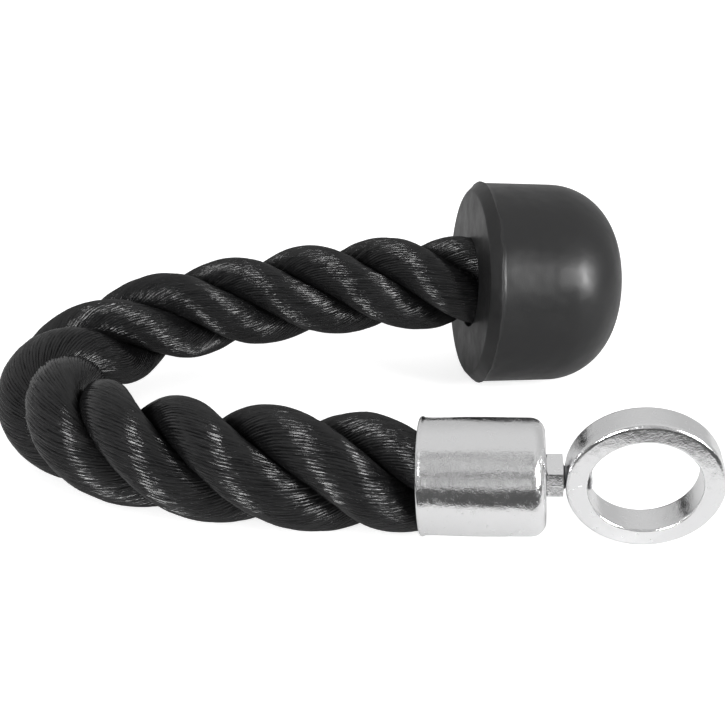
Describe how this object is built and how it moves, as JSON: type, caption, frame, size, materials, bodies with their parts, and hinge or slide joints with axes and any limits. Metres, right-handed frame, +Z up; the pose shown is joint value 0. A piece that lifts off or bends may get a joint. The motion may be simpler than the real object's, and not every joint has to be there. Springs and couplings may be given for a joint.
{
  "type": "triceps rope attachment",
  "caption": "One-hand cable attachment: a thick laid rope with a swivel eye ring in a swaged steel ferrule at one end and a domed rubber stopper at the other.",
  "frame": {"origin": "on the plane that the part lies on, midway between its two end fittings", "axes": "+Z up; +X from the rope's bend towards the eye ring and the stopper; +Y from the swivel end towards the stopper"},
  "size_m": [0.1894, 0.1473, 0.0648],
  "materials": {
    "rope_fibre": "black polypropylene yarn, satin",
    "plated_steel": "bright plating over drawn steel",
    "inner_steel": "plain zinc",
    "black_rubber": "moulded, satin"
  },
  "bodies": {
    "root": {"ferrule": "plated_steel", "rope": "rope_fibre", "rubber_stopper": "black_rubber", "stop_collar": "inner_steel"},
    "swivel": {"eye_ring": "plated_steel", "lock_nut": "plated_steel", "swivel_bolt": "inner_steel", "thrust_washer": "inner_steel"}
  },
  "joints": [
    {"name": "ring_swivel", "type": "hinge", "parent": "root", "child": "swivel", "pos_m": [-0.00451, -0.06012, 0.01696], "axis": [0.9864, -0.1474, 0.0732], "continuous": true}
  ]
}
